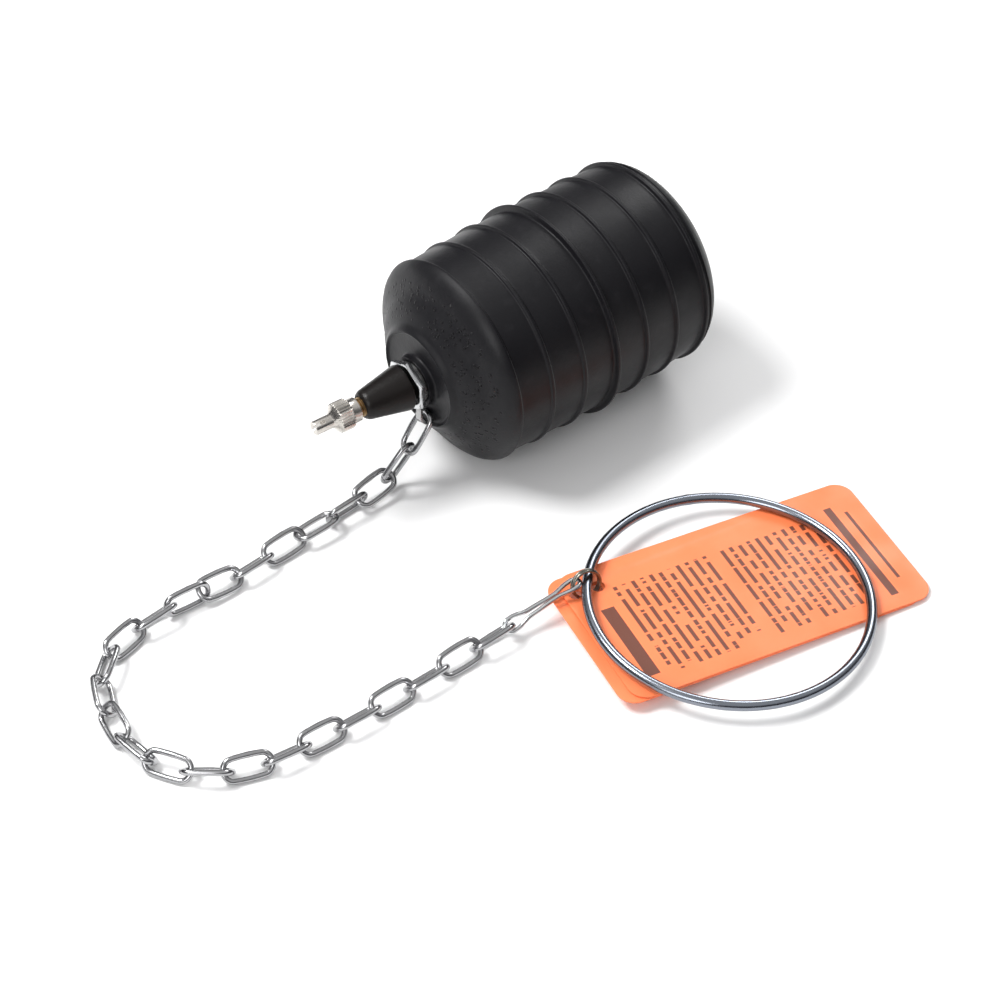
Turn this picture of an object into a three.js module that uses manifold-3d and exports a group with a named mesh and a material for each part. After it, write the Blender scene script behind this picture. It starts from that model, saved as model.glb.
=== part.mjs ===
import * as THREE from 'three';
import Module from 'manifold-3d';
import { mergeVertices } from 'three/addons/utils/BufferGeometryUtils.js';

// Inflatable pipe plug: ribbed rubber body, valve stem, chain, pull ring and two tags. Millimetres, +Z up.

const GAP = 0.3;
const TURN = Math.PI * 2;
const DEG = Math.PI / 180;

// Rubber body, a solid of revolution about X
const BODY_SIDES = 32;
const RIB_PITCH = 15.44;
const RIB_RADII = [42.1, 42.5, 43.0, 44.5, 43.1, 42.7, 42.5];
const RIB_LIP = 0.7;
const RIB_FOOT = 1.7;
const WAIST_RADIUS = 42.0;
const WAIST_FALL = 0.9;
const BODY_WALL = 4.0;
const FACE_X = -65;
const DISH_X = -62.2;
const REAR_X = 60.1;
const BOSS_RADIUS = 10.2;
const FRONT_SHOULDER = [[19.8, -63.3], [20.6, -62.8], [22.2, -61], [27.8, -58], [32, -54.4], [36, -52.4], [39, -50.5], [41, -48.6]];
const REAR_SHOULDER = [[41.6, 49], [40, 51.6], [37.5, 54], [34, 56.4], [28, 58.9], [20, REAR_X]];
const DISH_RADIUS = 19;
const CAVITY_REAR_X = 54;
const CAVITY_FRONT_X = -54;
const CAVITY_END_RADIUS = 26;
const CAVITY_SIDE_X = 45;
const AXIS_Z = Math.max(...RIB_RADII) * Math.cos(Math.PI / BODY_SIDES);

// Valve stem, leaning sideways from the nut's front face
const LEAN = 4 * DEG;
const STEM_SIDES = 24;
const NUT_DEPTH = 2.6;
const STRAP_THICK = 1.1;
const NUT_FRONT_X = FACE_X - GAP - STRAP_THICK - GAP - NUT_DEPTH;
const NUT_FLATS = 18.8;
const NUT_CHAMFER = 1.2;
const NUT_CIRCLE_SIDES = 48;
const TUBE_RADIUS = 3.85;
const TUBE_BORE = 2.7;
const TUBE_TIP = 29.2;
const TIP_CHAMFER = 0.5;
const FLANGE_RADIUS = 10;
const FLANGE_THICK = 2;
const LEAN_PLAY = 1.5;
const BODY_BORE = TUBE_RADIUS + LEAN_PLAY;
const COVER_START = 0.95;
const COVER_PROFILE = [[9.2, COVER_START], [6.0, 17.8], [5.5, 19.0], [4.6, 19.7]];
const CORE_RADIUS = TUBE_BORE - GAP;
const CORE_SPAN = [10, 24];
const PIN_RADIUS = 0.6;
const PIN_TIP = 28;
const SEAT_RADIUS = 1.7;
const SEAT_THICK = 1.2;

// Valve cap, distances along the stem
const CAP_START = 20.1;
const SKIRT_RADIUS = 4.9;
const COLLAR_START = 25.4;
const COLLAR_RADIUS = 6.0;
const COLLAR_END = 31.2;
const SHOULDER_HEIGHT = 1.6;
const FOOT_HEIGHT = 2;
const PRONG_RADIUS = 2.8;
const PRONG_FOOT = 3.7;
const CAP_END = 40.6;
const PRONG_SLOT = 1.4;
const PRONG_SLOT_DEPTH = 5;
const WASHER_THICK = 0.7;

// Hook of the bracket, in the plane of X and the arm's direction
const ARM_ANGLE = 22 * DEG;
const HOOK_X = -63.9;
const HOOK_OUT = 14.8;
const HOOK_RADIUS = 3.1;
const HOOK_POCKET = 14;
const STRAP_WIDTH = 3.2;
const BEND_ROOM = 1.6;
const STRAP_END = 13.4;
const LINK_LIFT = 1.8;
const WASHER_RADIUS = 9.0;

// Chain
const LINK_LENGTH = 20.2;
const LINK_WIDTH = 10.7;
const LINK_WIRE = 2.3;
const LINK_COLUMNS = 14;
const WIRE_SIDES = 6;
const LINKS = 25;
const TAUT_STEP = LINK_LENGTH - 2 * LINK_WIRE - GAP;
const EASED_STEP = 14.2;
const EASED_LINKS = [2, 3, 4, 8, 9];
const SLACK_STEP = 14.45;
const SLACK_LINKS = [10, 20];
const FLOOR_LINK_Z = (LINK_WIDTH - LINK_WIRE) / 2 * Math.SQRT1_2 + LINK_WIRE / 2;
const UPRIGHT_LINK_Z = LINK_WIDTH / 2;
const FIRST_ROLLS = [4, 68, 150, 68, 18, -46, 45, -35, 97];
const EVEN_ROLL = 45;

// Connector between the chain and the split ring
const CONNECTOR_WIRE = 1.9;
const CONNECTOR_WIDTH = 6.9;
const CONNECTOR_WAIST = 1.15;
const CONNECTOR_START = [-96.6, -92.9, 5.4];
const CONNECTOR_END = [-61.66, -95.14, 11.1];
const CONNECTOR_ROLLS = [45, -14.1];
const CONNECTOR_COLUMNS = 24;

// The way the chain was laid out, from the hook to the connector
const CHAIN_ROUTE = [
  [-72.3, -5.4, 18.6], [-81.2, -4.0, 7.2], [-96.0, -5.5, UPRIGHT_LINK_Z], [-112, -6.3, UPRIGHT_LINK_Z],
  [-134.9, -6.6, FLOOR_LINK_Z], [-158, -7.9, FLOOR_LINK_Z], [-173.4, -7.2, UPRIGHT_LINK_Z],
  [-188.6, -6.4, UPRIGHT_LINK_Z], [-200.5, -6.9, FLOOR_LINK_Z],
  [-210.3, -8.9, FLOOR_LINK_Z], [-221.5, -16.7, FLOOR_LINK_Z], [-228.5, -28.9, FLOOR_LINK_Z],
  [-232, -42.1, FLOOR_LINK_Z], [-232.2, -56.3, FLOOR_LINK_Z], [-227.9, -68.4, FLOOR_LINK_Z],
  [-218.8, -78.9, FLOOR_LINK_Z], [-206.6, -86.4, FLOOR_LINK_Z], [-192.6, -89.7, FLOOR_LINK_Z],
  [-163.3, -92.1, FLOOR_LINK_Z], [-118, -92.5, FLOOR_LINK_Z],
];

// Split ring: two turns of wire side by side
const SPLIT_CENTRE = [-60.3, -96.6, 8.8];
const SPLIT_NORMAL = [0.204, 0.945, -0.255];
const SPLIT_WIRE = 1.2;
const SPLIT_RADIUS = 5.6;
const SPLIT_COLUMNS = 20;

// The pull ring leans from the split ring down to the tags, which slope less
const RING_SLOPE = [-0.043, 0.024];
const TAG_SLOPE = [-0.032, 0.018];
// Where the ring's wire passes through the split ring, and the ring's heading from there
const RING_PASS = [-60.009, -96.874, 9.84];
const RING_HEADING = -45.283 * DEG;
const RING_RADIUS = 52.7;
const RING_WIRE = 4.0;
const RING_COLUMNS = 48;
const RING_SIDES = 8;
// The corner by the holes, before it is rounded, on the upper face
const TAG_CORNER_POINT = [-67.312, -85.315, 6.677];
const TAG_TURN = -12.4 * DEG;
const TAG_LENGTH = 126.6;
const TAG_WIDTH = 66.4;
const TAG_CORNER = 7;
const TAG_THICK = 0.6;
const LOWER_SHIFT = 4.3;
const HOLE_RADIUS = 2.6;

const wasm = await Module();
wasm.setup();
const root = new THREE.Group();

// One named mesh with its own plain material.
function add(name, geometry, colour, roughness, metalness) {
  const material = new THREE.MeshStandardMaterial({ color: colour, roughness, metalness });
  material.name = name;
  const mesh = new THREE.Mesh(geometry, material);
  mesh.name = name;
  root.add(mesh);
}

function vector(p) {
  return new THREE.Vector3(p[0], p[1], p[2]);
}

// Turns about +Y, from a list of [radius, distance].
function turned(profile, sides, phase = 0) {
  const points = profile.map(([r, y]) => new THREE.Vector2(r, y));
  return new THREE.LatheGeometry(points, sides, phase);
}

// Moves a shape so that its +Y runs along the given direction from the given point.
function aim(geometry, origin, direction) {
  const up = direction.clone().normalize();
  const side = new THREE.Vector3(0, 0, 1).projectOnPlane(up).normalize();
  const frame = new THREE.Matrix4().makeBasis(up.clone().cross(side), up, side);
  frame.setPosition(origin);
  return geometry.applyMatrix4(frame);
}

function toSolid(geometry) {
  const bare = geometry.clone();
  bare.deleteAttribute('normal');
  bare.deleteAttribute('uv');
  const merged = mergeVertices(bare, 1e-4);
  return new wasm.Manifold(new wasm.Mesh({
    numProp: 3,
    vertProperties: merged.attributes.position.array,
    triVerts: new Uint32Array(merged.index.array),
  }));
}

function toGeometry(solid) {
  const mesh = solid.getMesh();
  const geometry = new THREE.BufferGeometry();
  geometry.setAttribute('position', new THREE.BufferAttribute(new Float32Array(mesh.vertProperties), 3));
  geometry.setIndex(new THREE.BufferAttribute(new Uint32Array(mesh.triVerts), 1));
  return geometry;
}

// A closed wire: a torus whose columns are moved onto a path. place(t) gives centre, outward and normal.
function closedWire(columns, section, place) {
  const flat = section.map(([r, y]) => new THREE.Vector2(2 + r, y));
  flat.push(flat[0].clone());
  const torus = new THREE.LatheGeometry(flat, columns, Math.PI / 2);
  const position = torus.attributes.position;
  const rows = flat.length;
  for (let i = 0; i < position.count; i += 1) {
    const at = place(Math.floor(i / rows) % columns / columns * TURN);
    const [r, y] = section[i % rows % section.length];
    const moved = at.centre.clone().addScaledVector(at.outward, r).addScaledVector(at.normal, y);
    position.setXYZ(i, moved.x, moved.y, moved.z);
  }
  return torus;
}

function roundSection(radius, sides) {
  const section = [];
  for (let i = 0; i < sides; i += 1) {
    const a = -i / sides * TURN;
    section.push([-radius * Math.cos(a), radius * Math.sin(a)]);
  }
  return section;
}

// Axes of a long loop: along its length, across its width and out of its plane.
function loopFrame(direction, roll) {
  const along = direction.clone().normalize();
  const left = new THREE.Vector3(0, 0, 1).cross(along).normalize();
  const up = along.clone().cross(left);
  const across = left.multiplyScalar(Math.cos(roll)).addScaledVector(up, Math.sin(roll));
  return { along, across, normal: along.clone().cross(across) };
}

// Rubber body
function bodyProfile() {
  const inner = WAIST_RADIUS - WAIST_FALL - BODY_WALL;
  const profile = [[0, CAVITY_REAR_X], [CAVITY_END_RADIUS, CAVITY_REAR_X], [inner, CAVITY_SIDE_X]];
  profile.push([inner, -CAVITY_SIDE_X], [CAVITY_END_RADIUS, CAVITY_FRONT_X]);
  profile.push([BODY_BORE, CAVITY_FRONT_X], [BODY_BORE, FACE_X], [BOSS_RADIUS, FACE_X]);
  profile.push([BOSS_RADIUS, DISH_X], [DISH_RADIUS, DISH_X], ...FRONT_SHOULDER);
  const middle = (RIB_RADII.length - 1) / 2;
  RIB_RADII.forEach((crest, i) => {
    const x = (i - middle) * RIB_PITCH;
    const waist = WAIST_RADIUS - WAIST_FALL * (x / (middle * RIB_PITCH)) ** 2;
    if (i > 0) profile.push([waist, x - RIB_FOOT]);
    profile.push([crest, x - RIB_LIP], [crest, x + RIB_LIP]);
    if (i < RIB_RADII.length - 1) profile.push([waist, x + RIB_FOOT]);
  });
  profile.push(...REAR_SHOULDER, [0, REAR_X]);
  return profile;
}

const armOut = new THREE.Vector3(0, -Math.sin(ARM_ANGLE), -Math.cos(ARM_ANGLE));
const armSide = new THREE.Vector3(1, 0, 0).cross(armOut);
const hookCentre = new THREE.Vector3(HOOK_X, 0, AXIS_Z).addScaledVector(armOut, HOOK_OUT);

function bodyGeometry() {
  const axis = new THREE.Vector3(1, 0, 0);
  const centre = new THREE.Vector3(0, 0, AXIS_Z);
  const body = aim(turned(bodyProfile(), BODY_SIDES, Math.PI / BODY_SIDES), centre, axis);
  const room = HOOK_RADIUS + STRAP_THICK / 2 + 2 * GAP;
  const pocket = new THREE.CylinderGeometry(room, room, HOOK_POCKET, 16);
  return toGeometry(toSolid(body).subtract(toSolid(aim(pocket, hookCentre, armSide))));
}
add('rubber_body', bodyGeometry(), 0x26262a, 0.55, 0);

// Stem parts, all on one leaning line
const stemOrigin = new THREE.Vector3(NUT_FRONT_X, 0, AXIS_Z);
const stemAway = new THREE.Vector3(-Math.cos(LEAN), Math.sin(LEAN), 0);

function onStem(profile, sides = STEM_SIDES) {
  return aim(turned(profile, sides), stemOrigin, stemAway);
}

const flangeTop = NUT_FRONT_X - CAVITY_FRONT_X - LEAN_PLAY;
const tubeOuter = [[FLANGE_RADIUS, flangeTop - FLANGE_THICK], [FLANGE_RADIUS, flangeTop]];
tubeOuter.push([TUBE_RADIUS, flangeTop], [TUBE_RADIUS, TUBE_TIP - TIP_CHAMFER], [TUBE_RADIUS - TIP_CHAMFER, TUBE_TIP]);
tubeOuter.push([TUBE_BORE, TUBE_TIP], [TUBE_BORE, flangeTop - FLANGE_THICK], tubeOuter[0]);
add('stem_tube', onStem(tubeOuter), 0xb08d4a, 0.35, 1);

const coverInner = TUBE_RADIUS + GAP;
const cover = [[coverInner, COVER_START], ...COVER_PROFILE, [coverInner, COVER_PROFILE.at(-1)[1]], [coverInner, COVER_START]];
add('stem_cover', onStem(cover), 0x1d1c1d, 0.5, 0);

const core = [[PIN_RADIUS + GAP, CORE_SPAN[0]], [CORE_RADIUS, CORE_SPAN[0]], [CORE_RADIUS, CORE_SPAN[1]]];
core.push([PIN_RADIUS + GAP, CORE_SPAN[1]], core[0]);
add('valve_core', onStem(core, 12), 0xb99650, 0.35, 1);

const seatTop = CORE_SPAN[0] - GAP;
const pin = [[0, seatTop - SEAT_THICK], [SEAT_RADIUS, seatTop - SEAT_THICK], [SEAT_RADIUS, seatTop]];
pin.push([PIN_RADIUS, seatTop], [PIN_RADIUS, PIN_TIP], [0, PIN_TIP]);
add('valve_pin', onStem(pin, 12), 0xc7a765, 0.3, 1);

const washerTop = TUBE_TIP + GAP + WASHER_THICK;
const washer = [[PIN_RADIUS + 2 * GAP, TUBE_TIP + GAP], [TUBE_RADIUS, TUBE_TIP + GAP], [TUBE_RADIUS, washerTop]];
washer.push([PIN_RADIUS + 2 * GAP, washerTop], washer[0]);
add('cap_washer', onStem(washer, 16), 0x1a1a1a, 0.7, 0);

function capGeometry() {
  const bore = TUBE_RADIUS + GAP;
  const ceiling = washerTop + GAP;
  const profile = [[0, ceiling], [bore, ceiling], [bore, CAP_START], [SKIRT_RADIUS, CAP_START]];
  profile.push([SKIRT_RADIUS, COLLAR_START], [COLLAR_RADIUS, COLLAR_START], [COLLAR_RADIUS, COLLAR_END]);
  profile.push([PRONG_FOOT, COLLAR_END + SHOULDER_HEIGHT], [PRONG_RADIUS, COLLAR_END + FOOT_HEIGHT]);
  profile.push([PRONG_RADIUS, CAP_END], [0, CAP_END]);
  const slot = new THREE.BoxGeometry(PRONG_SLOT, 2 * PRONG_SLOT_DEPTH, 4 * PRONG_RADIUS).translate(0, CAP_END, 0);
  const across = toSolid(slot);
  return toGeometry(toSolid(turned(profile, 30)).subtract(across));
}
add('valve_cap', aim(capGeometry(), stemOrigin, stemAway), 0xc9c6c0, 0.22, 1);

// Hexagonal nut, chamfered at the front to a circle that touches its flats
function nutGeometry() {
  const corner = NUT_FLATS / 2 / Math.cos(Math.PI / 6);
  const bore = TUBE_RADIUS + 2 * GAP;
  const prism = toSolid(turned([[bore, 0], [corner, 0], [corner, NUT_DEPTH], [bore, NUT_DEPTH], [bore, 0]], 6));
  const hole = toSolid(turned([[0, -GAP], [bore, -GAP], [bore, NUT_DEPTH + GAP], [0, NUT_DEPTH + GAP]], STEM_SIDES));
  const flat = NUT_FLATS / 2;
  const outside = 1.1 * corner;
  const cone = [[0, 0], [outside, 0], [outside, NUT_DEPTH - NUT_CHAMFER], [flat, NUT_DEPTH], [0, NUT_DEPTH]];
  const chamfer = toSolid(turned(cone, NUT_CIRCLE_SIDES));
  return toGeometry(prism.intersect(chamfer).subtract(hole));
}
const nutBack = new THREE.Vector3(NUT_FRONT_X + NUT_DEPTH, 0, AXIS_Z);
add('stem_nut', aim(nutGeometry(), nutBack, new THREE.Vector3(-1, 0, 0)), 0xbfc0c0, 0.25, 1);

// Chain bracket: a washer with an arm that ends in a hook
function bracketGeometry() {
  const back = FACE_X - GAP;
  const shape = new THREE.Shape();
  const outer = HOOK_RADIUS + STRAP_THICK / 2;
  const inner = HOOK_RADIUS - STRAP_THICK / 2;
  const strapFoot = (TUBE_RADIUS + 2 * GAP + WASHER_RADIUS) / 2;
  const bendStart = NUT_FLATS / 2 + BEND_ROOM;
  shape.moveTo(back, strapFoot);
  shape.lineTo(back, bendStart);
  shape.lineTo(HOOK_X - inner, HOOK_OUT);
  shape.absarc(HOOK_X, HOOK_OUT, inner, Math.PI, 0, true);
  shape.lineTo(HOOK_X + inner, STRAP_END);
  shape.lineTo(HOOK_X + outer, STRAP_END);
  shape.lineTo(HOOK_X + outer, HOOK_OUT);
  shape.absarc(HOOK_X, HOOK_OUT, outer, 0, Math.PI, false);
  shape.lineTo(back - STRAP_THICK, bendStart + STRAP_THICK / 2);
  shape.lineTo(back - STRAP_THICK, strapFoot);
  shape.closePath();
  const strap = new THREE.ExtrudeGeometry(shape, { depth: STRAP_WIDTH, bevelEnabled: false, curveSegments: 8 });
  strap.translate(0, 0, -STRAP_WIDTH / 2);
  const frame = new THREE.Matrix4().makeBasis(new THREE.Vector3(1, 0, 0), armOut, armSide);
  frame.setPosition(0, 0, AXIS_Z);
  strap.applyMatrix4(frame);
  const bore = TUBE_RADIUS + 2 * GAP;
  const ring = [[bore, 0], [WASHER_RADIUS, 0], [WASHER_RADIUS, STRAP_THICK], [bore, STRAP_THICK], [bore, 0]];
  const washerPart = aim(turned(ring, STEM_SIDES), new THREE.Vector3(back, 0, AXIS_Z), new THREE.Vector3(-1, 0, 0));
  return toGeometry(toSolid(strap).add(toSolid(washerPart)));
}
add('chain_bracket', bracketGeometry(), 0xb9babb, 0.28, 1);

// Chain: link ends meet at points that are stepped off along the route
const hookWire = hookCentre.clone().addScaledVector(armOut, HOOK_RADIUS - STRAP_THICK / 2 - GAP - LINK_LIFT);
const connectorStart = vector(CONNECTOR_START);
const connectorEnd = vector(CONNECTOR_END);
const connectorAlong = connectorEnd.clone().sub(connectorStart).normalize();
const chainEnd = connectorStart.clone().addScaledVector(connectorAlong, CONNECTOR_WIRE + GAP / 2);
const route = new THREE.CatmullRomCurve3(CHAIN_ROUTE.map(vector));
route.points.unshift(hookWire);
route.points.push(chainEnd);

function stepOff() {
  const samples = route.getPoints(6000);
  const ends = [samples[0]];
  let k = 0;
  for (let link = 1; link < LINKS; link += 1) {
    const slack = link >= SLACK_LINKS[0] && link <= SLACK_LINKS[1];
    const eased = EASED_LINKS.includes(link) ? EASED_STEP : TAUT_STEP;
    const step = slack ? SLACK_STEP : eased;
    while (k < samples.length - 1 && samples[k].distanceTo(ends[link - 1]) < step) k += 1;
    ends.push(samples[k]);
  }
  ends.push(chainEnd);
  return ends;
}

function linkRoll(number) {
  const even = number % 2 === 0 ? EVEN_ROLL : -EVEN_ROLL;
  return (number <= FIRST_ROLLS.length ? FIRST_ROLLS[number - 1] : even) * DEG;
}

function linkGeometry(centre, direction, roll) {
  const frame = loopFrame(direction, roll);
  const radius = (LINK_WIDTH - LINK_WIRE) / 2;
  const straight = (LINK_LENGTH - LINK_WIDTH) / 2;
  return closedWire(LINK_COLUMNS, roundSection(LINK_WIRE / 2, WIRE_SIDES), (t) => {
    const outward = frame.along.clone().multiplyScalar(Math.cos(t)).addScaledVector(frame.across, Math.sin(t));
    const middle = centre.clone().addScaledVector(outward, radius);
    middle.addScaledVector(frame.along, Math.sign(Math.cos(t)) * straight);
    return { centre: middle, outward, normal: frame.normal };
  });
}

const ends = stepOff();
for (let number = 1; number <= LINKS; number += 1) {
  const from = ends[number - 1];
  const to = ends[number];
  const centre = from.clone().add(to).multiplyScalar(0.5);
  const name = 'link_' + String(number).padStart(2, '0');
  add(name, linkGeometry(centre, to.clone().sub(from), linkRoll(number)), 0xb4b6b8, 0.2, 1);
}

// Connector: a long loop whose plane turns between its ends
function connectorGeometry() {
  const length = connectorStart.distanceTo(connectorEnd);
  const radius = (CONNECTOR_WIDTH - CONNECTOR_WIRE) / 2;
  const half = length / 2 - CONNECTOR_WIDTH / 2;
  const centre = connectorStart.clone().add(connectorEnd).multiplyScalar(0.5);
  const perSide = CONNECTOR_COLUMNS / 4;
  return closedWire(CONNECTOR_COLUMNS, roundSection(CONNECTOR_WIRE / 2, WIRE_SIDES), (t) => {
    const column = Math.round(t / TURN * CONNECTOR_COLUMNS);
    const quarter = Math.floor(column / perSide) % 4;
    const part = column % perSide / perSide;
    const legs = [
      [half, -Math.PI / 2 + Math.PI * part], [half * (1 - 2 * part), Math.PI / 2],
      [-half, Math.PI / 2 + Math.PI * part], [half * (2 * part - 1), Math.PI * 1.5],
    ];
    const [shift, angle] = legs[quarter];
    const along = shift + radius * Math.cos(angle);
    const turn = THREE.MathUtils.smoothstep(along, -half * 0.75, half * 0.35);
    const roll = (CONNECTOR_ROLLS[0] + (CONNECTOR_ROLLS[1] - CONNECTOR_ROLLS[0]) * turn) * DEG;
    const frame = loopFrame(connectorAlong, roll);
    const open = THREE.MathUtils.smoothstep(Math.abs(along), half * 0.4, half * 0.9);
    const spread = CONNECTOR_WAIST + (radius - CONNECTOR_WAIST) * open;
    const outward = frame.along.clone().multiplyScalar(Math.cos(angle)).addScaledVector(frame.across, Math.sin(angle));
    const middle = centre.clone().addScaledVector(frame.along, along);
    middle.addScaledVector(frame.across, spread * Math.sin(angle));
    return { centre: middle, outward, normal: frame.normal };
  });
}
add('connector', connectorGeometry(), 0xc4c6c8, 0.18, 1);

// A ring in a plane with the given normal
function ringGeometry(centre, normal, radius, columns, section) {
  const up = normal.clone().normalize();
  const first = new THREE.Vector3(1, 0, 0).projectOnPlane(up).normalize();
  const second = up.clone().cross(first);
  return closedWire(columns, section, (t) => {
    const outward = first.clone().multiplyScalar(Math.cos(t)).addScaledVector(second, Math.sin(t));
    return { centre: centre.clone().addScaledVector(outward, radius), outward, normal: up };
  });
}

// Split ring: the section is two round wires that meet in a shallow groove
const wireHalf = SPLIT_WIRE / 2;
const splitSection = [
  [-wireHalf, wireHalf], [-wireHalf * 0.4, SPLIT_WIRE], [wireHalf * 0.4, SPLIT_WIRE], [wireHalf, wireHalf],
  [wireHalf * 0.6, 0], [wireHalf, -wireHalf], [wireHalf * 0.4, -SPLIT_WIRE], [-wireHalf * 0.4, -SPLIT_WIRE],
  [-wireHalf, -wireHalf], [-wireHalf * 0.6, 0],
].reverse();
const splitCentre = vector(SPLIT_CENTRE);
const splitNormal = vector(SPLIT_NORMAL).normalize();
add('split_ring', ringGeometry(splitCentre, splitNormal, SPLIT_RADIUS, SPLIT_COLUMNS, splitSection), 0x9c9a90, 0.25, 1);

// Pull ring
function slopeNormal(slope) {
  return new THREE.Vector3(-slope[0], -slope[1], 1).normalize();
}
const ringSection = roundSection(RING_WIRE / 2, RING_SIDES);
const ringNormal = slopeNormal(RING_SLOPE);
const ringHeading = new THREE.Vector3(Math.cos(RING_HEADING), Math.sin(RING_HEADING), 0);
const ringCentre = ringHeading.projectOnPlane(ringNormal).setLength(RING_RADIUS).add(vector(RING_PASS));
const pullRing = ringGeometry(ringCentre, ringNormal, RING_RADIUS, RING_COLUMNS, ringSection);
add('pull_ring', pullRing, 0x8d9299, 0.22, 1);

// Tags with a long hole that the split ring passes through
const tagNormal = slopeNormal(TAG_SLOPE);
const tagAlong = new THREE.Vector3(Math.cos(TAG_TURN), Math.sin(TAG_TURN), 0).projectOnPlane(tagNormal).normalize();
const tagAcross = tagNormal.clone().cross(tagAlong);

function tagGeometry(shift, depth) {
  const halfLength = TAG_LENGTH / 2;
  const halfWidth = TAG_WIDTH / 2;
  const c = TAG_CORNER;
  const origin = vector(TAG_CORNER_POINT).addScaledVector(tagNormal, -depth - TAG_THICK);
  origin.addScaledVector(tagAlong, halfLength - shift).addScaledVector(tagAcross, -halfWidth);
  const shape = new THREE.Shape();
  shape.moveTo(-halfLength + c, -halfWidth);
  shape.absarc(halfLength - c, -halfWidth + c, c, -Math.PI / 2, 0, false);
  shape.absarc(halfLength - c, halfWidth - c, c, 0, Math.PI / 2, false);
  shape.absarc(-halfLength + c, halfWidth - c, c, Math.PI / 2, Math.PI, false);
  shape.absarc(-halfLength + c, -halfWidth + c, c, Math.PI, Math.PI * 1.5, false);
  // The split ring passes down one hole and up the other, where its circle meets this tag's middle
  const chord = splitNormal.clone().cross(tagNormal).normalize();
  const down = splitNormal.clone().cross(chord);
  const above = splitCentre.clone().sub(origin).dot(tagNormal) - TAG_THICK / 2;
  const drop = above / -down.dot(tagNormal);
  const reach = Math.sqrt(SPLIT_RADIUS ** 2 - drop ** 2);
  for (const side of [-reach, reach]) {
    const at = splitCentre.clone().addScaledVector(down, drop).addScaledVector(chord, side).sub(origin);
    shape.holes.push(new THREE.Path().absarc(at.dot(tagAlong), at.dot(tagAcross), HOLE_RADIUS, 0, TURN, false));
  }
  const tag = new THREE.ExtrudeGeometry(shape, { depth: TAG_THICK, bevelEnabled: false, curveSegments: 6 });
  const frame = new THREE.Matrix4().makeBasis(tagAlong, tagAcross, tagNormal);
  frame.setPosition(origin);
  return tag.applyMatrix4(frame);
}
add('tag_upper', tagGeometry(0, 0), 0xff875a, 0.6, 0);
add('tag_lower', tagGeometry(LOWER_SHIFT, TAG_THICK + GAP), 0xff7f50, 0.6, 0);

// The origin is the middle of the underside of the whole layout
const box = new THREE.Box3().setFromObject(root);
const middle = box.getCenter(new THREE.Vector3());
root.children.forEach((mesh) => mesh.geometry.translate(-middle.x, -middle.y, -box.min.z));

export default root;
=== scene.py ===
import math

import bmesh
import bpy
import numpy as np
from mathutils import Matrix, Vector


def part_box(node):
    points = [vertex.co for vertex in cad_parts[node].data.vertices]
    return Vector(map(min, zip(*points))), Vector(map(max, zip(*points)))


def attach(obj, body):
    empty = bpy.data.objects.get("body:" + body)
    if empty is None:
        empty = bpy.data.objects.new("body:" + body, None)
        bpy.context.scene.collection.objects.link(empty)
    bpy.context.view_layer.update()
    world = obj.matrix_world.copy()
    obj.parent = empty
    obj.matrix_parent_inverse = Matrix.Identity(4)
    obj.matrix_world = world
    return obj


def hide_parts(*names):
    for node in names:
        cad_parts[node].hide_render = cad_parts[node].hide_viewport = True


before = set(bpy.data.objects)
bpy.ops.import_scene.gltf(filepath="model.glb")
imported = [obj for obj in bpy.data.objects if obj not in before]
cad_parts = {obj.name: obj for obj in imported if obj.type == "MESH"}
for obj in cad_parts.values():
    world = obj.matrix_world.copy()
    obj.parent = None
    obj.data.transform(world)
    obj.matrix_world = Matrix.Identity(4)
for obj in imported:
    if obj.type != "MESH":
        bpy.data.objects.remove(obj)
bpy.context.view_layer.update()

# Drawn in millimetres from below the middle rib, with x along the plug, and moved onto the frame here.
REAR_X = 60.1
MIDDLE_RIB = 44.5
AXIS_Z = MIDDLE_RIB * math.cos(math.pi / 32)
body_low, body_high = (Vector(corner) * 1000 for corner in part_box("rubber_body"))
body_middle = (body_low + body_high) / 2
OFFSET = Vector((body_high.x - REAR_X, body_middle.y, body_middle.z - AXIS_Z))


def place(point):
    """A drawn point in millimetres as a point of the frame in metres."""
    return (Vector(point) + OFFSET) / 1000


# Shader building


class Field:
    """A value that varies over a surface. Sums of fields add Math nodes."""

    def __init__(self, paint, socket):
        self.paint, self.socket = paint, socket

    def maths(self, operation, *others):
        return self.paint.node("Math", {"operation": operation}, [self, *others])

    def __add__(self, other):
        return self.maths("ADD", other)

    def __sub__(self, other):
        return self.maths("SUBTRACT", other)

    def __mul__(self, other):
        return self.maths("MULTIPLY", other)

    def __truediv__(self, other):
        return self.maths("DIVIDE", other)

    def __rsub__(self, other):
        return self.paint.node("Math", {"operation": "SUBTRACT"}, [other, self])

    __radd__, __rmul__ = __add__, __mul__

    def inside(self, low, high, soft=0.0):
        """1 between low and high, and 0 outside, with soft edges."""
        rise = self.paint.ramp(self, low - soft, low + soft)
        return rise - self.paint.ramp(self, high - soft, high + soft)


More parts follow.
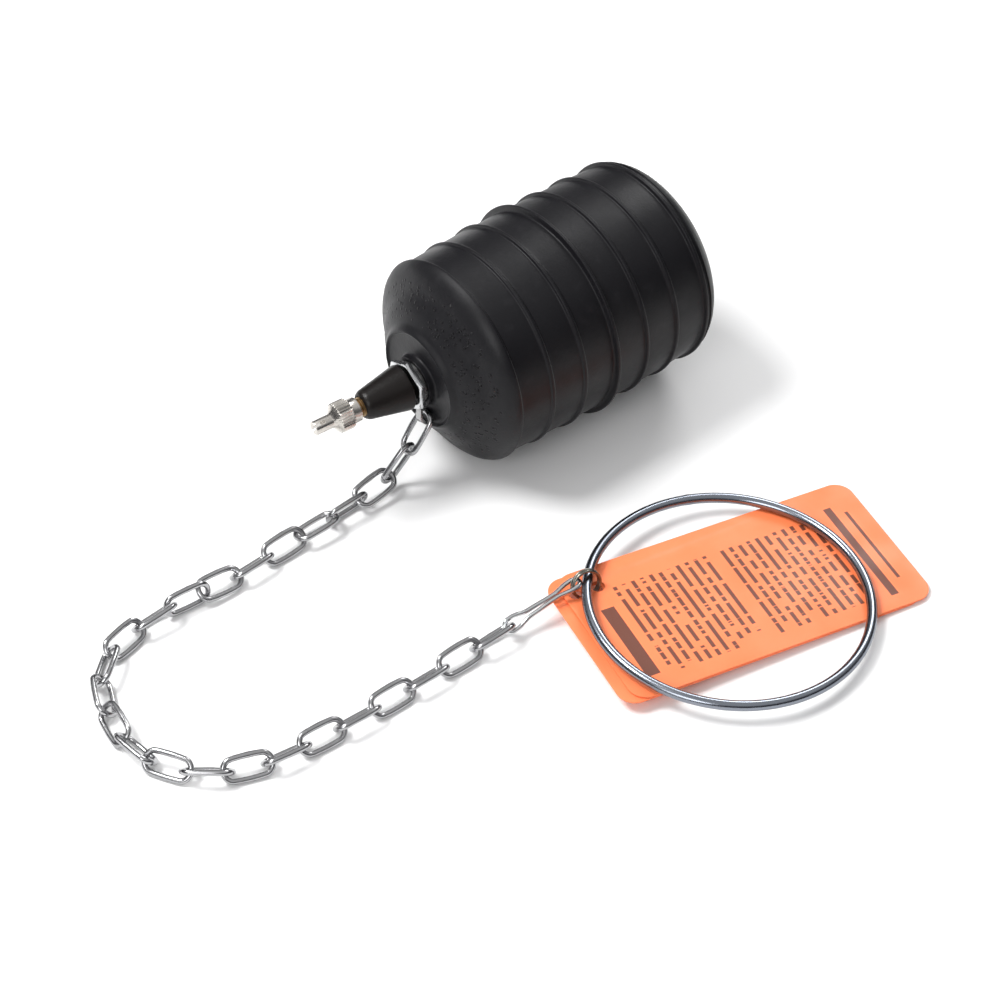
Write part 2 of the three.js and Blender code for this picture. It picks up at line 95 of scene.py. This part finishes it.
class Paint:
    """One material, with its shader's plain values set at once."""

    def __init__(self, name, colour, roughness, metallic=0.0, coat=0.0):
        self.material = bpy.data.materials.new(name)
        self.material.use_nodes = True
        self.tree = self.material.node_tree
        self.shader = self.tree.nodes["Principled BSDF"]
        self.set("Base Color", (*colour, 1))
        self.set("Roughness", roughness)
        self.set("Metallic", metallic)
        self.set("Coat Weight", coat)
        self.where = self.node("NewGeometry", {}, [], "Position")

    def node(self, kind, settings, values, output=0):
        """Adds a node of that kind, and gives one of its outputs as a field."""
        made = self.tree.nodes.new("ShaderNode" + kind)
        for key, value in settings.items():
            setattr(made, key, value)
        pairs = values.items() if isinstance(values, dict) else enumerate(values)
        for key, value in pairs:
            if isinstance(value, Field):
                self.tree.links.new(value.socket, made.inputs[key])
            else:
                made.inputs[key].default_value = value
        return Field(self, made.outputs[output])

    def set(self, name, value):
        """Puts a field or a plain value on one of the shader's own sockets."""
        if isinstance(value, Field):
            self.tree.links.new(value.socket, self.shader.inputs[name])
        else:
            self.shader.inputs[name].default_value = value

    def ramp(self, value, low, high):
        """0 at low, 1 at high and beyond."""
        values = {"Value": value, "From Min": low, "From Max": high}
        return self.node("MapRange", {"interpolation_type": "SMOOTHSTEP"}, values)

    def noise(self, size_mm, detail=3.0):
        """Cloudy noise with spots of about the given size."""
        values = {"Vector": self.where, "Scale": 1000.0 / size_mm, "Detail": detail}
        return self.node("TexNoise", {}, values)

    def along(self, origin, direction):
        """Distance in millimetres from a point along a direction."""
        from_origin = self.node("VectorMath", {"operation": "SUBTRACT"}, [self.where, tuple(place(origin))])
        toward = tuple(Vector(direction).normalized())
        metres = self.node("VectorMath", {"operation": "DOT_PRODUCT"}, [from_origin, toward], "Value")
        return metres * 1000.0

    def blend(self, factor, first, second):
        """A colour between two, by a field."""
        colours = [c if isinstance(c, Field) else (*c, 1) for c in (first, second)]
        return self.node("Mix", {"data_type": "RGBA"}, {0: factor, 6: colours[0], 7: colours[1]}, 2)

    def bump(self, height, depth_mm, after=None):
        """A normal for raised and sunk places, on top of another one where that is given."""
        values = {"Height": height, "Strength": 1.0, "Distance": depth_mm / 1000}
        if after:
            values["Normal"] = after
        return self.node("Bump", {}, values)


# Mesh building


def finish_piece(name, mesh_maker, paint, body, stands_for, smooth=40):
    """A new piece from a bmesh, smooth up to a corner angle, that rides on a body."""
    mesh = bpy.data.meshes.new(name)
    bmesh.ops.recalc_face_normals(mesh_maker, faces=mesh_maker.faces)
    mesh_maker.to_mesh(mesh)
    mesh_maker.free()
    piece = bpy.data.objects.new(name, mesh)
    bpy.context.scene.collection.objects.link(piece)
    mesh.materials.append(paint.material)
    for face in mesh.polygons:
        face.use_smooth = True
    mesh.set_sharp_from_angle(angle=math.radians(smooth))
    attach(piece, body)
    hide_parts(stands_for)
    return piece


def basis(direction):
    """Two directions across a given one."""
    along = Vector(direction).normalized()
    first = along.orthogonal().normalized()
    if abs(along.z) < 0.9:
        first = Vector((0, 0, 1)) - along * along.z
        first.normalize()
    return along, first, along.cross(first)


def revolve(profile, origin, direction, sides, shape=None):
    """A turned solid from (radius, distance) pairs. shape(angle, radius, distance) may change a radius."""
    along, first, second = basis(direction)
    made = bmesh.new()
    rings = []
    for radius, distance in profile:
        centre = Vector(origin) + along * distance
        if radius < 1e-6:
            rings.append([made.verts.new(place(centre))])
            continue
        ring = []
        for k in range(sides):
            angle = 2 * math.pi * k / sides
            r = shape(angle, radius, distance) if shape else radius
            outward = first * math.cos(angle) + second * math.sin(angle)
            ring.append(made.verts.new(place(centre + outward * r)))
        rings.append(ring)
    for lower, upper in zip(rings, rings[1:]):
        for k in range(sides):
            corners = [lower[k % len(lower)], lower[(k + 1) % len(lower)]]
            corners += [upper[(k + 1) % len(upper)], upper[k % len(upper)]]
            corners = [c for i, c in enumerate(corners) if c not in corners[:i]]
            if len(corners) > 2:
                made.faces.new(corners)
    return made


def wire(path, radius, sides=16, closed=True, swell=None):
    """A round wire along points in drawn millimetres. swell(i) scales the radius."""
    points = [Vector(p) for p in path]
    count = len(points)
    made = bmesh.new()
    rings = []
    normal = None
    for i, point in enumerate(points):
        ahead = points[(i + 1) % count] if closed or i + 1 < count else point
        behind = points[i - 1] if closed or i > 0 else point
        along = (ahead - behind).normalized()
        normal = basis(along)[1] if normal is None else (normal - along * normal.dot(along)).normalized()
        across = along.cross(normal)
        r = radius * (swell(i) if swell else 1)
        ring = []
        for k in range(sides):
            angle = 2 * math.pi * k / sides
            outward = normal * math.cos(angle) + across * math.sin(angle)
            ring.append(made.verts.new(place(point + outward * r)))
        rings.append(ring)
    if closed:
        turn = min(range(sides), key=lambda s: (rings[0][s].co - rings[-1][0].co).length)
        rings.append(rings[0][turn:] + rings[0][:turn])
    for lower, upper in zip(rings, rings[1:]):
        for k in range(sides):
            made.faces.new([lower[k], lower[(k + 1) % sides], upper[(k + 1) % sides], upper[k]])
    if not closed:
        made.faces.new(rings[0])
        made.faces.new(rings[-1])
    return made


def rounded(points, radius, steps=3):
    """A profile whose corners are rounded off by about the given radius."""
    done = [points[0]]
    for before, corner, after in zip(points, points[1:], points[2:]):
        a, b, c = Vector(before), Vector(corner), Vector(after)
        cut = min(radius, (a - b).length * 0.45, (c - b).length * 0.45)
        start = b + (a - b).normalized() * cut
        end = b + (c - b).normalized() * cut
        for i in range(steps + 1):
            t = i / steps
            done.append(tuple(start * (1 - t) ** 2 + b * 2 * t * (1 - t) + end * t * t))
    done.append(points[-1])
    return done


# Finishes


def rubber(name, colour, roughness, grain):
    """Moulded rubber: a fine grain, faint flow marks and a little dust."""
    paint = Paint(name, colour, roughness)
    paint.set("Specular IOR Level", 0.22)
    flow = paint.noise(26, 4.0)
    fine = paint.noise(grain, 3.0)
    dust = paint.ramp(paint.noise(7, 5.0), 0.52, 0.75)
    paint.set("Base Color", paint.blend(dust * 0.5, colour, tuple(c * 1.7 for c in colour)))
    paint.set("Roughness", paint.ramp(flow, 0.3, 0.75) * 0.14 + (roughness - 0.07))
    paint.set("Normal", paint.bump(fine, 0.09, paint.bump(flow, 0.35)))
    return paint


def plated(name, colour, roughness, streak=18.0):
    """Plated or bright metal: soft smears and fine scratches."""
    paint = Paint(name, colour, roughness, metallic=1.0)
    smear = paint.noise(streak, 3.0)
    fine = paint.noise(0.5, 2.0)
    worn = tuple(c * 0.55 for c in colour)
    paint.set("Base Color", paint.blend(paint.ramp(smear, 0.35, 0.75) * 0.35, colour, worn))
    paint.set("Roughness", paint.ramp(smear, 0.3, 0.8) * 0.12 + roughness)
    paint.set("Normal", paint.bump(fine, 0.008))
    return paint


# Rubber body

RIB_PITCH = 15.44
RIB_RADII = [42.1, 42.5, 43.0, MIDDLE_RIB - 0.1, 43.1, 42.7, 42.5]
FACE_X, DISH_X = -65.0, -62.2
BORE_RADIUS, BOSS_RADIUS, WAIST_RADIUS = 5.35, 10.2, 42.0
FRONT = [(BOSS_RADIUS, FACE_X), (BOSS_RADIUS, DISH_X), (19.0, DISH_X), (19.8, -63.3), (20.6, -62.8),
         (22.2, -61.0), (27.8, -58.0), (32.0, -54.4), (36.0, -52.4), (39.0, -50.5), (41.0, -48.6)]
REAR = [(41.6, 49.0), (40.0, 51.6), (37.5, 54.0), (34.0, 56.4), (28.0, 58.9), (20.0, 60.0), (0.0, REAR_X)]
CAVITY = [(0.0, 54.0), (26.0, 54.0), (37.1, 45.0), (37.1, -45.0), (26.0, -54.0),
          (BORE_RADIUS, -54.0), (BORE_RADIUS, FACE_X)]


def body_profile():
    """Radius and x of the skin from the cavity, out of the front and along the ribs to the closed end."""
    ribs = []
    for i, crest in enumerate(RIB_RADII):
        x = (i - 3) * RIB_PITCH
        waist = WAIST_RADIUS - 0.9 * (x / (3 * RIB_PITCH)) ** 2
        foot = [(waist, x - 2.4), (waist, x - 1.3), (waist + (crest - waist) * 0.3, x - 0.9)]
        lip = [(crest - 0.12, x - 0.62), (crest, x - 0.3), (crest, x + 0.3), (crest - 0.12, x + 0.62)]
        tail = [(waist + (crest - waist) * 0.3, x + 0.9), (waist, x + 1.3), (waist, x + 2.4)]
        ribs += (foot if i else []) + lip + tail
    front = rounded(FRONT, 2.4, 4)
    rear = rounded([ribs[-1]] + REAR, 2.4, 4)[1:]
    return CAVITY + front + rounded(ribs, 0.35, 2) + rear


def body_paint():
    colour = (0.0072, 0.007, 0.0085)
    paint = Paint("moulded_rubber", colour, 0.5)
    paint.set("Specular IOR Level", 0.2)
    x = paint.along((0, 0, AXIS_Z), (1, 0, 0))
    y = paint.along((0, 0, AXIS_Z), (0, 1, 0))
    z = paint.along((0, 0, AXIS_Z), (0, 0, 1))
    radius = (y * y + z * z).maths("SQRT")
    turn = z.maths("ARCTAN2", y)
    flow = paint.noise(30, 4.0)
    fine = paint.noise(0.9, 3.0)
    dust = paint.ramp(paint.noise(6, 5.0), 0.55, 0.8)
    paint.set("Base Color", paint.blend(dust * 0.45, colour, (0.016, 0.0155, 0.0175)))
    paint.set("Roughness", paint.ramp(flow, 0.3, 0.75) * 0.14 + 0.36)
    # A plain stippled band round the face
    grid = paint.node("CombineXYZ", {}, [turn * 9.0, radius * 0.36, 0.0])
    cells = paint.node("TexVoronoi", {"feature": "F1"}, {"Vector": grid, "Scale": 1.6}, "Distance")
    band = radius.inside(24.5, 36.5, 0.6) * (1.0 - paint.ramp(x, -52.5, -51.0))
    stipple = (1.0 - paint.ramp(cells, 0.16, 0.34)) * band
    low_relief = paint.bump(stipple, 0.7, paint.bump(flow, 0.5))
    paint.set("Normal", paint.bump(fine, 0.05, low_relief))
    return paint


body_mesh = revolve(body_profile(), (0, 0, AXIS_Z), (1, 0, 0), 192)
finish_piece("ribbed_body", body_mesh, body_paint(), "plug", "rubber_body", smooth=55)

# Valve stem, leaning four degrees

LEAN = math.radians(4)
STEM = (-69.3, 0, AXIS_Z)
AWAY = (-math.cos(LEAN), math.sin(LEAN), 0)


def stem_tube():
    """The brass tube: flange inside the body, plain shank, then thread up to the tip."""
    profile = [(2.7, 29.2), (2.7, -18.8), (10, -18.8), (10, -16.8), (3.85, -16.8), (3.85, 18.4)]
    s = 18.6
    while s < 28.2:
        profile += [(3.35, s), (3.84, s + 0.28), (3.84, s + 0.42)]
        s += 0.79
    return profile + [(3.4, 28.9), (3.2, 29.2), (2.7, 29.2)]


brass = plated("worn_brass", (0.4, 0.27, 0.14), 0.3)
finish_piece("threaded_tube", revolve(stem_tube(), STEM, AWAY, 48), brass, "plug", "stem_tube", smooth=30)

COVER = [(4.2, 1.0), (9.2, 0.98), (9.15, 1.9), (6.0, 17.8), (5.45, 19.0), (4.6, 19.7), (4.2, 19.7)]
cover = rounded(COVER, 0.5)
cover += [(4.2, 1.0)]
cover_paint = rubber("stem_rubber", (0.0065, 0.005, 0.0045), 0.38, 0.8)
finish_piece("stem_sleeve", revolve(cover, STEM, AWAY, 64), cover_paint, "plug", "stem_cover", smooth=60)

# Valve cap with a knurled collar and a slotted prong

TEETH = 32
CAP_END = 40.6


def knurl(angle, radius, distance):
    if 25.7 < distance < 31.0 and radius > 5.8:
        return radius - 0.34 * (0.5 + 0.5 * math.cos(angle * TEETH))
    return radius


def cap_mesh():
    inside = [(0, 30.5), (4.1, 30.4), (4.1, 21.8)]
    skirt = [(4.7, 21.8), (4.9, 22.0), (4.9, 25.1), (5.0, 25.35)]
    collar = [(5.7, 25.4), (5.95, 25.75), (6.0, 26.0), (6.0, 30.6), (5.9, 30.95), (5.6, 31.15)]
    foot = [(3.9, 32.3), (3.2, 32.9), (2.85, 33.3)]
    prong = [(2.8, 34.0), (2.8, CAP_END - 0.4), (2.6, CAP_END), (0, CAP_END)]
    profile = inside + skirt + collar + foot + prong
    return revolve(profile, STEM, AWAY, TEETH * 6, knurl)


def cut_slots(piece, centre, direction, turns):
    """Cuts a slot through the prong's end for each turn about its axis."""
    along, first, second = basis(direction)
    for turn in turns:
        across = first * math.cos(turn) + second * math.sin(turn)
        block = bmesh.new()
        bmesh.ops.create_cube(block, size=1)
        spread = Matrix((across * 0.008, along * 0.01, along.cross(across) * 0.00135)).transposed()
        put = Matrix.Translation(place(centre)) @ spread.to_4x4()
        bmesh.ops.transform(block, matrix=put, verts=block.verts)
        bmesh.ops.recalc_face_normals(block, faces=block.faces)
        mesh = bpy.data.meshes.new("cutter")
        block.to_mesh(mesh)
        cutter = bpy.data.objects.new("cutter", mesh)
        bpy.context.scene.collection.objects.link(cutter)
        cut = piece.modifiers.new("slot", "BOOLEAN")
        cut.operation, cut.object, cut.solver = "DIFFERENCE", cutter, "EXACT"
        shape = bpy.data.meshes.new_from_object(piece.evaluated_get(bpy.context.evaluated_depsgraph_get()))
        piece.modifiers.clear()
        piece.data = shape
        bpy.data.objects.remove(cutter)


nickel = plated("bright_nickel", (0.6, 0.57, 0.53), 0.2, 6.0)
cap = finish_piece("slotted_cap", cap_mesh(), nickel, "valve_cap", "valve_cap", smooth=35)
tip = Vector(STEM) + Vector(AWAY) * (CAP_END + 0.6)
cut_slots(cap, tip, AWAY, [math.radians(-28)])
cap.data.set_sharp_from_angle(angle=math.radians(35))

# Nut and bracket: the solids with rounded corners

zinc = plated("bright_zinc", (0.42, 0.42, 0.43), 0.17, 7.0)
dull_zinc = plated("rubbed_zinc", (0.36, 0.36, 0.36), 0.24, 5.0)
nut_zinc = plated("nut_zinc", (0.62, 0.63, 0.64), 0.16, 6.0)


def soften(node, paint, width_mm, body):
    """A copy of a solid with its corners rounded off, in the solid's place."""
    made = bmesh.new()
    made.from_mesh(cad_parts[node].data)
    bmesh.ops.remove_doubles(made, verts=made.verts, dist=1e-6)
    flat = math.radians(1)
    bmesh.ops.dissolve_limit(made, angle_limit=flat, verts=made.verts, edges=made.edges)
    sharp = math.radians(35)
    corners = [e for e in made.edges if len(e.link_faces) == 2 and e.calc_face_angle() > sharp]
    rounding = {"offset": width_mm / 1000, "segments": 3, "profile": 0.5, "clamp_overlap": True}
    bmesh.ops.bevel(made, geom=corners, affect="EDGES", **rounding)
    return finish_piece("softened_" + node, made, paint, body, node, smooth=50)


def coat(node, paint):
    """Gives an inner solid its finish."""
    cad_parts[node].material_slots[0].material = paint.material


soften("stem_nut", nut_zinc, 0.3, "plug")
soften("chain_bracket", dull_zinc, 0.2, "plug")
coat("valve_core", brass)
coat("valve_pin", brass)
coat("cap_washer", cover_paint)

# Chain: smooth oval links in the place of the plain ones

LINK_LENGTH, LINK_WIDTH, LINK_WIRE = 20.2, 10.7, 2.3


def link_axes(node):
    """Centre, long axis and wide axis of a link's solid, in drawn millimetres."""
    points = np.array([v.co[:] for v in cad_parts[node].data.vertices]) * 1000
    unique = np.unique(points.round(3), axis=0)
    centre = unique.mean(0)
    axes = np.linalg.eigh(np.cov((unique - centre).T))[1]
    return Vector(centre) - OFFSET, Vector(axes[:, 2]), Vector(axes[:, 1])


def oval(centre, long_axis, wide_axis, length, width, thick, bulge=0.0, steps=64):
    """Points of an oval loop, whose sides may bulge a little."""
    radius = (width - thick) / 2
    straight = (length - width) / 2
    points = []
    for i in range(steps):
        t = 2 * math.pi * (i + 0.5) / steps
        c, s = math.cos(t), math.sin(t)
        u = radius * c + math.copysign(straight, c) * min(1, abs(c) * 2.6) ** 0.8
        v = radius * math.copysign(abs(s) ** (1 - bulge), s)
        points.append(centre + long_axis * u + wide_axis * v)
    return points


LINKS = 25
WELD_AT = 16


def link_weld(i):
    """A link's weld is slightly thicker than its wire."""
    return 1 + 0.07 * math.exp(-((i - WELD_AT) / 0.9) ** 2)


for number in range(1, LINKS + 1):
    node = f"link_{number:02d}"
    centre, long_axis, wide_axis = link_axes(node)
    loop = oval(centre, long_axis, wide_axis, LINK_LENGTH, LINK_WIDTH, LINK_WIRE, 0.05)
    mesh = wire(loop, LINK_WIRE / 2 - 0.05, 16, True, link_weld)
    finish_piece("chain_" + node, mesh, zinc, node, node, smooth=80)

# Connector: a long loop whose plane turns, with its sides drawn in

CONNECTOR_START, CONNECTOR_END = Vector((-96.6, -92.9, 5.4)), Vector((-61.66, -95.14, 11.1))
CONNECTOR_WIRE, CONNECTOR_WIDTH, CONNECTOR_WAIST = 1.9, 6.9, 1.15
CONNECTOR_ROLLS = (45, -14.1)


def smoothstep(x, low, high):
    t = min(1, max(0, (x - low) / (high - low)))
    return t * t * (3 - 2 * t)


def connector_path(steps=160):
    along = (CONNECTOR_END - CONNECTOR_START).normalized()
    centre = (CONNECTOR_START + CONNECTOR_END) / 2
    radius = (CONNECTOR_WIDTH - CONNECTOR_WIRE) / 2
    half = (CONNECTOR_END - CONNECTOR_START).length / 2 - CONNECTOR_WIDTH / 2
    left = Vector((0, 0, 1)).cross(along).normalized()
    up = along.cross(left)
    total = 4 * half + 2 * math.pi * radius
    points = []
    for i in range(steps):
        d = total * i / steps
        arc = math.pi * radius
        if d < arc:
            shift, angle = half, -math.pi / 2 + d / radius
        elif d < arc + 2 * half:
            shift, angle = half - (d - arc), math.pi / 2
        elif d < 2 * arc + 2 * half:
            shift, angle = -half, math.pi / 2 + (d - arc - 2 * half) / radius
        else:
            shift, angle = -half + (d - 2 * arc - 2 * half), -math.pi / 2
        u = shift + radius * math.cos(angle)
        turned = smoothstep(u, -half * 0.75, half * 0.35)
        roll = math.radians(CONNECTOR_ROLLS[0] + (CONNECTOR_ROLLS[1] - CONNECTOR_ROLLS[0]) * turned)
        opened = smoothstep(abs(u), half * 0.4, half * 0.9)
        spread = CONNECTOR_WAIST + (radius - CONNECTOR_WAIST) * opened
        across = left * math.cos(roll) + up * math.sin(roll)
        points.append(centre + along * u + across * spread * math.sin(angle))
    return points


connector_mesh = wire(connector_path(), CONNECTOR_WIRE / 2 - 0.06, 14)
finish_piece("twisted_connector", connector_mesh, nut_zinc, "connector", "connector", smooth=80)

# Split ring: two turns of one wire

SPLIT_CENTRE, SPLIT_NORMAL = Vector((-60.3, -96.6, 8.8)), Vector((0.204, 0.945, -0.255))
SPLIT_WIRE, SPLIT_RADIUS = 1.2, 5.6


def split_path(steps=120):
    normal, first, second = basis(SPLIT_NORMAL)
    points = []
    for i in range(steps + 1):
        turns = 1.96 * i / steps
        angle = 2 * math.pi * turns + math.radians(205)
        step_over = smoothstep(turns, 0.9, 1.12) - 0.5
        around = first * math.cos(angle) + second * math.sin(angle)
        points.append(SPLIT_CENTRE + around * SPLIT_RADIUS + normal * SPLIT_WIRE * step_over)
    return points


dull_nickel = plated("dull_nickel", (0.24, 0.23, 0.2), 0.2, 4.0)
split_mesh = wire(split_path(), SPLIT_WIRE / 2, 12, False)
finish_piece("split_coil", split_mesh, dull_nickel, "split_ring", "split_ring", smooth=60)

# Pull ring with its weld

RING_CENTRE, RING_NORMAL = Vector((-22.97, -134.28, 7.35)), Vector((0.043, -0.024, 1))
RING_RADIUS, RING_WIRE = 52.7, 4.0
WELD_POINT = Vector((-0.7, -85.7, 7.5))
RING_STEPS = 192


def ring_path(steps):
    normal = RING_NORMAL.normalized()
    first = (WELD_POINT - RING_CENTRE)
    first = (first - normal * first.dot(normal)).normalized()
    second = normal.cross(first)
    angles = [2 * math.pi * i / steps for i in range(steps)]
    return [RING_CENTRE + (first * math.cos(a) + second * math.sin(a)) * RING_RADIUS for a in angles]


steel = plated("ring_steel", (0.25, 0.27, 0.31), 0.16, 30.0)


def ring_weld(i):
    """The weld stands a little proud at the path's first point."""
    return 1 + 0.05 * math.exp(-(min(i, RING_STEPS - i) / 0.7) ** 2)


ring_mesh = wire(ring_path(RING_STEPS), RING_WIRE / 2, 24, True, ring_weld)
finish_piece("welded_ring", ring_mesh, steel, "pull_ring", "pull_ring", smooth=80)

# Tags: orange sheet with plain dark bars

TAG_CENTRE = Vector((-12.65, -131.3, 4.1))
TAG_TURN = math.radians(-12.4)
TAG_LONG = Vector((math.cos(TAG_TURN), math.sin(TAG_TURN), 0))
TAG_WIDE = Vector((-math.sin(TAG_TURN), math.cos(TAG_TURN), 0))


LINE_PITCH, RAGGED_END = 3.8, 12.0
PRINT_BLOCKS = [(-45.0, -3.6, -26.0, 20.0), (0.2, 41.6, -26.0, 20.0)]
PRINT_BARS = [(-51.5, 5.4, -24.5, 11.5), (49.3, 3.2, -27.0, 22.5), (55.2, 1.4, -20.0, 18.0)]


def bars(paint, u, v):
    """Plain dark bars across the tag: single bars, and blocks of thin ragged ones."""
    line = (u / LINE_PITCH).maths("FLOOR")
    ragged = paint.node("TexWhiteNoise", {"noise_dimensions": "1D"}, {"W": line}, "Value")
    along_line = paint.node("CombineXYZ", {}, [v * 0.42, line * 7.3, 0.0])
    values = {"Vector": along_line, "Scale": 1.0, "Detail": 1.0}
    gaps = paint.node("TexNoise", {"noise_dimensions": "2D"}, values)
    thin = (u / LINE_PITCH - line).inside(0.2, 0.62, 0.06) * paint.ramp(gaps, 0.38, 0.42)
    ink = None
    for low, high, first, last in PRINT_BLOCKS:
        block = u.inside(low, high, 0.1) * v.inside(first, last, 0.2)
        block = block * paint.ramp(v + ragged * RAGGED_END, first + 5, first + 5.4) * thin
        ink = block if ink is None else ink + block
    for at, thick, first, last in PRINT_BARS:
        ink = ink + u.inside(at - thick / 2, at + thick / 2, 0.12) * v.inside(first, last, 0.15)
    return ink.maths("MINIMUM", 1.0)


def tag_paint(name, printed):
    colour = (1.0, 0.235, 0.085)
    paint = Paint(name, colour, 0.5)
    u = paint.along(TAG_CENTRE, TAG_LONG)
    v = paint.along(TAG_CENTRE, TAG_WIDE)
    mottle = paint.noise(14, 4.0)
    face = paint.blend(paint.ramp(mottle, 0.3, 0.8) * 0.5, colour, (0.93, 0.19, 0.06))
    if printed:
        face = paint.blend(bars(paint, u, v) * 0.88, face, (0.03, 0.016, 0.014))
    paint.set("Base Color", face)
    paint.set("Roughness", paint.ramp(mottle, 0.3, 0.8) * 0.15 + 0.42)
    paint.set("Normal", paint.bump(paint.noise(1.2, 3.0), 0.03, paint.bump(paint.noise(40, 2.0), 0.8)))
    return paint


soften("tag_upper", tag_paint("printed_tag", True), 0.12, "tag_upper")
soften("tag_lower", tag_paint("plain_tag", False), 0.12, "tag_lower")

# Floor, light and camera


def stage_floor():
    mesh = bpy.data.meshes.new("floor")
    made = bmesh.new()
    bmesh.ops.create_grid(made, x_segments=1, y_segments=1, size=4)
    made.to_mesh(mesh)
    floor = bpy.data.objects.new("floor", mesh)
    floor.location.z = -0.0002
    bpy.context.scene.collection.objects.link(floor)
    paint = Paint("pale_floor", (0.9, 0.9, 0.9), 0.8)
    paint.set("Base Color", paint.blend(paint.noise(300, 2.0), (0.93, 0.93, 0.93), (0.9, 0.9, 0.9)))
    floor.data.materials.append(paint.material)


def lamp(name, place_m, aim_m, size, power, colour=(1, 1, 1)):
    data = bpy.data.lights.new(name, "AREA")
    data.shape, data.size, data.energy, data.color = "DISK", size, power, colour
    made = bpy.data.objects.new(name, data)
    made.location = place_m
    made.rotation_euler = (Vector(aim_m) - Vector(place_m)).to_track_quat("-Z", "Y").to_euler()
    bpy.context.scene.collection.objects.link(made)


def surroundings():
    """White where the camera sees past the floor; a pale room with a darker horizon for everything else."""
    world = bpy.data.worlds.new("studio")
    bpy.context.scene.world = world
    world.use_nodes = True
    tree = world.node_tree
    tree.nodes.clear()
    direction = tree.nodes.new("ShaderNodeTexCoord")
    split = tree.nodes.new("ShaderNodeSeparateXYZ")
    tree.links.new(direction.outputs["Generated"], split.inputs[0])
    sky = tree.nodes.new("ShaderNodeValToRGB")
    tree.links.new(split.outputs["Z"], sky.inputs[0])
    sky.color_ramp.elements[0].position, sky.color_ramp.elements[0].color = 0.0, (0.03, 0.03, 0.033, 1)
    sky.color_ramp.elements[1].position, sky.color_ramp.elements[1].color = 0.75, (1.0, 1.0, 1.0, 1)
    middle = sky.color_ramp.elements.new(0.45)
    middle.color = (0.2, 0.2, 0.215, 1)
    room = tree.nodes.new("ShaderNodeBackground")
    room.inputs["Strength"].default_value = 0.7
    tree.links.new(sky.outputs[0], room.inputs["Color"])
    white = tree.nodes.new("ShaderNodeBackground")
    white.inputs["Color"].default_value = (1, 1, 1, 1)
    white.inputs["Strength"].default_value = 1.0
    path = tree.nodes.new("ShaderNodeLightPath")
    mix = tree.nodes.new("ShaderNodeMixShader")
    tree.links.new(path.outputs["Is Camera Ray"], mix.inputs[0])
    tree.links.new(room.outputs[0], mix.inputs[1])
    tree.links.new(white.outputs[0], mix.inputs[2])
    out = tree.nodes.new("ShaderNodeOutputWorld")
    tree.links.new(mix.outputs[0], out.inputs[0])


LENS_MM, SENSOR_MM = 101.0, 36.0
CAMERA_PLACE = (-529.58, -632.35, 763.58)
CAMERA_RIGHT = Vector((0.7785, -0.6276, -0.0036))
CAMERA_UP = Vector((0.4456, 0.5485, 0.7075))
CAMERA_AHEAD = Vector((0.4421, 0.5524, -0.7067))


def camera():
    data = bpy.data.cameras.new("photo_view")
    data.sensor_width, data.lens = SENSOR_MM, LENS_MM
    data.clip_end = 20
    made = bpy.data.objects.new("photo_view", data)
    turn = Matrix((CAMERA_RIGHT, CAMERA_UP, -CAMERA_AHEAD)).transposed().to_4x4()
    made.matrix_world = Matrix.Translation(place(CAMERA_PLACE)) @ turn
    bpy.context.scene.collection.objects.link(made)
    bpy.context.scene.camera = made


stage_floor()
surroundings()
lamp("key", (-0.5, 0.6, 1.3), (0, 0, 0), 0.6, 20)
lamp("fill", (-1.2, -0.6, 0.9), (0, 0, 0), 0.9, 9)
lamp("rear", (1.0, 0.5, 0.9), (0, 0, 0), 0.6, 6)
camera()
bpy.context.scene.view_settings.view_transform = "Standard"
